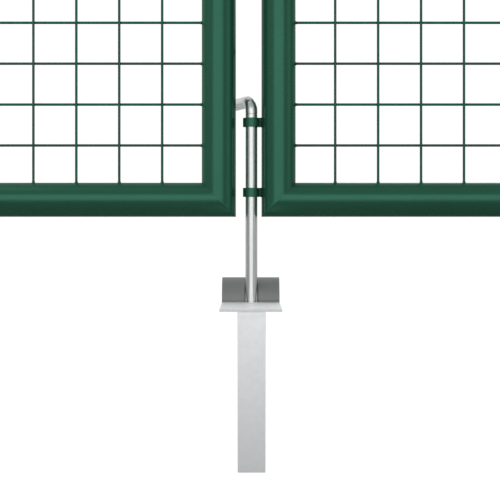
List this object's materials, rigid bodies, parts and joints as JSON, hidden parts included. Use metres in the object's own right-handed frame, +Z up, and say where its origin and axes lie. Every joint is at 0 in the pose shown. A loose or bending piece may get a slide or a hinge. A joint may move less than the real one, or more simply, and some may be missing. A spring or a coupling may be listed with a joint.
{
  "type": "livestock panel gate",
  "caption": "Double-leaf livestock gate: mitred round tube frames with welded wire mesh, hinged on two posts, with a lock, a drop bolt in guide rings and a slotted ground stop.",
  "frame": {"origin": "on the ground line, half way between the two leaves, in the gate's mid plane", "axes": "+X along the gate towards the leaf that carries the drop bolt, +Y through the gate away from the side the leaves swing to, +Z up"},
  "size_m": [3.152, 0.2295, 1.847],
  "materials": {
    "green_powder_coat": "semi-gloss powder coat",
    "green_coated_wire": "semi-gloss powder coat",
    "black_plastic": "moulded, matt",
    "white_nylon": "turned nylon",
    "bright_zinc": "bright zinc plate",
    "pale_galvanised_steel": "smooth galvanised",
    "dark_galvanised_steel": "dull galvanised",
    "stainless_steel": "brushed",
    "black_powder_coat": "fine texture powder coat",
    "nickel_plated_steel": "nickel plate",
    "brass": "machined"
  },
  "bodies": {
    "root": {"left_post": "green_powder_coat", "right_post": "green_powder_coat", "post_caps": "black_plastic", "lower_hook_bolts": "bright_zinc", "upper_hook_bolts": "bright_zinc", "thrust_washers": "white_nylon", "hook_saddles": "bright_zinc", "hook_nuts": "bright_zinc", "ground_plate": "pale_galvanised_steel", "keeper": "dark_galvanised_steel", "front_stake": "pale_galvanised_steel", "rear_stake": "pale_galvanised_steel"},
    "left_leaf": {"left_bottom_rail": "green_powder_coat", "left_top_rail": "green_powder_coat", "left_meeting_stile": "green_powder_coat", "left_hinge_stile": "green_powder_coat", "left_mesh_uprights": "green_coated_wire", "left_mesh_cross_wires": "green_coated_wire", "left_hinge_eyes": "green_powder_coat", "lock_box": "green_powder_coat", "forend": "stainless_steel", "forend_screws": "stainless_steel", "front_escutcheon": "black_powder_coat", "back_escutcheon": "black_powder_coat", "front_escutcheon_screws": "stainless_steel", "back_escutcheon_screws": "stainless_steel", "lock_cylinder": "brass", "latch_spring": "stainless_steel"},
    "right_leaf": {"right_bottom_rail": "green_powder_coat", "right_top_rail": "green_powder_coat", "right_meeting_stile": "green_powder_coat", "right_hinge_stile": "green_powder_coat", "right_mesh_uprights": "green_coated_wire", "right_mesh_cross_wires": "green_coated_wire", "right_hinge_eyes": "green_powder_coat", "lower_bolt_guide": "green_powder_coat", "upper_bolt_guide": "green_powder_coat", "handle_rest": "green_powder_coat", "strike_keep": "green_powder_coat"},
    "drop_bolt": {"drop_bolt_rod": "bright_zinc"},
    "bolt_handle": {"drop_bolt_handle": "bright_zinc"},
    "lever_set": {"front_lever": "black_powder_coat", "back_lever": "black_powder_coat", "spindle": "nickel_plated_steel", "follower": "nickel_plated_steel"},
    "latch": {"latch_bolt": "nickel_plated_steel"},
    "lock_deadbolt": {"deadbolt": "nickel_plated_steel"},
    "lock_plug": {"cylinder_plug": "brass"}
  },
  "joints": [
    {"name": "left_leaf_swing", "type": "hinge", "parent": "root", "child": "left_leaf", "pos_m": [-1.46, 0, 0.3], "axis": [0, 0, 1], "range_deg": [-100, 0]},
    {"name": "right_leaf_swing", "type": "hinge", "parent": "root", "child": "right_leaf", "pos_m": [1.46, 0, 0.3], "axis": [0, 0, 1], "range_deg": [0, 100]},
    {"name": "bolt_lift", "type": "slide", "parent": "right_leaf", "child": "drop_bolt", "axis": [0, 0, 1], "range_m": [0, 0.08]},
    {"name": "bolt_handle_turn", "type": "hinge", "parent": "drop_bolt", "child": "bolt_handle", "pos_m": [0.0032, 0, 0.2235], "axis": [0, 0, 1], "range_deg": [-51, 16]},
    {"name": "lever_turn", "type": "hinge", "parent": "left_leaf", "child": "lever_set", "pos_m": [-0.06, 0, 0.755], "axis": [0, -1, 0], "range_deg": [0, 40], "stiffness_Nm_per_rad": 1.6, "springref_deg": -20.05},
    {"name": "latch_slide", "type": "slide", "parent": "left_leaf", "child": "latch", "axis": [-1, 0, 0], "range_m": [0, 0.014], "deforming": ["latch_spring"]},
    {"name": "cylinder_turn", "type": "hinge", "parent": "left_leaf", "child": "lock_plug", "pos_m": [-0.06, 0, 0.7], "axis": [0, -1, 0], "range_deg": [0, 180]},
    {"name": "deadbolt_slide", "type": "slide", "parent": "left_leaf", "child": "lock_deadbolt", "axis": [1, 0, 0], "range_m": [0, 0.02]}
  ],
  "couplings": [
    {"joint": "latch_slide", "follows": "lever_turn", "m_per_rad": 0.02},
    {"joint": "cylinder_turn", "follows": "deadbolt_slide", "rad_per_m": 157}
  ]
}
